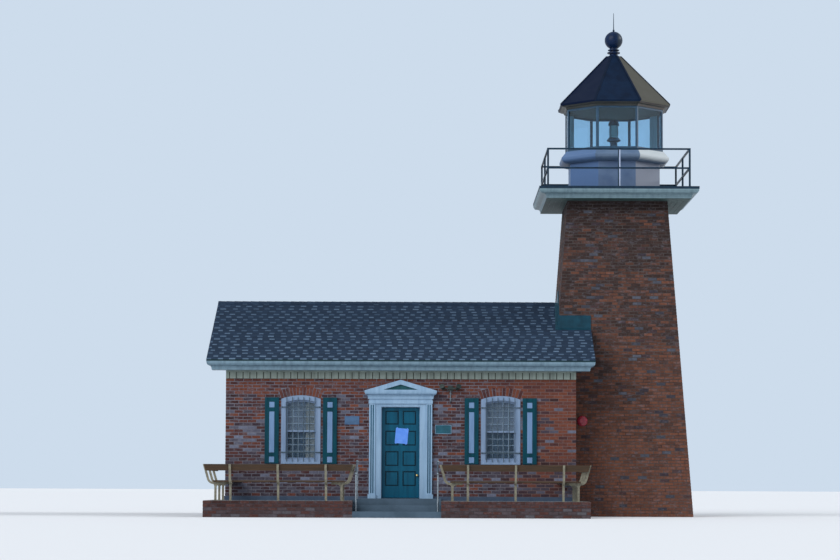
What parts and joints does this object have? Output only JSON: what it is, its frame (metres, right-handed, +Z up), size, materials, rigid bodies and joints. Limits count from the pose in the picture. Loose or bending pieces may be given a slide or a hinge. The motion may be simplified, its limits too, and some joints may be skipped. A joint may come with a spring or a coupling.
{
  "type": "brick lighthouse with attached keeper's house",
  "caption": "Square brick tower with a railed gallery and an eight-sided glazed lantern, joined to a gabled brick house with a hinged front door and a terrace with benches.",
  "frame": {"origin": "on the tower's vertical axis at ground level, the middle of the tower slab's underside", "axes": "+Z up, the entrance front faces -Y, the house runs from the tower towards -X"},
  "size_m": [11.718, 8.8208, 12.5027],
  "materials": {
    "brick_tower": "red-brown fired brick with pale mortar",
    "brick_house": "salvaged red brick, some whitened, pale mortar",
    "brick_terrace": "dark red brick",
    "concrete": "grey trowelled concrete",
    "cream_paint": "off-white painted timber",
    "teal_paint": "dark teal painted timber",
    "shingles": "blue-grey mineral-faced shingles",
    "flashing": "green painted sheet metal",
    "window_glass": "clear",
    "lantern_white": "white painted metal",
    "dark_iron": "dark painted steel",
    "lantern_roofing": "dark painted sheet metal",
    "lens": "clear stepped glass",
    "brass": "polished",
    "hinge_steel": "satin",
    "bell_red": "red gloss paint",
    "bench_timber": "weathered clear-finished timber",
    "bench_steel": "weathered pale painted steel"
  },
  "bodies": {
    "building": {"foundation": "concrete", "house_floor": "concrete", "front_wall_left": "brick_house", "front_wall_right": "brick_house", "front_wall_over_door": "brick_house", "back_wall": "brick_house", "left_gable_wall": "brick_house", "right_gable_wall": "brick_house", "wall_friezes": "cream_paint", "eave_cornices": "cream_paint", "rake_boards": "cream_paint", "roof_front": "shingles", "roof_back": "shingles", "ridge_cap": "shingles", "tower_flashing": "flashing", "window_frames": "cream_paint", "window_sashes": "cream_paint", "window_glass": "window_glass", "window_shutters": "teal_paint", "door_frame": "cream_paint", "hinge_pins": "hinge_steel", "door_surround": "cream_paint", "pediment_panel": "teal_paint", "tower_floor": "concrete", "tower_front_wall": "brick_tower", "tower_back_wall": "brick_tower", "tower_left_wall": "brick_tower", "tower_right_wall": "brick_tower", "gallery_cornice": "lantern_white", "gallery_deck": "dark_iron", "railing_front": "dark_iron", "railing_back": "dark_iron", "railing_left": "dark_iron", "railing_right": "dark_iron", "lantern_wall": "lantern_white", "lantern_ledge": "lantern_white", "lantern_frame": "lantern_white", "lantern_glass": "window_glass", "lantern_cornice": "lantern_white", "lantern_roof": "lantern_roofing", "roof_ribs": "lantern_roofing", "ball_vent": "lantern_roofing", "lightning_rod": "lantern_roofing", "beacon_pedestal": "dark_iron", "beacon_lens": "lens", "alarm_bell": "bell_red", "floodlights": "dark_iron", "terrace_walls": "brick_terrace", "terrace_paving": "concrete", "front_steps": "concrete", "step_handrails": "dark_iron", "bench_frames": "bench_steel", "bench_seats": "bench_timber", "bench_backs": "bench_timber"},
    "door": {"front_door": "teal_paint", "door_knob": "brass", "hinge_leaves": "hinge_steel"}
  },
  "joints": [
    {"name": "front_door_hinge", "type": "hinge", "parent": "building", "child": "door", "pos_m": [-5.684, -2.604, 1.507], "axis": [0, 0, 1], "range_deg": [0, 90]}
  ]
}
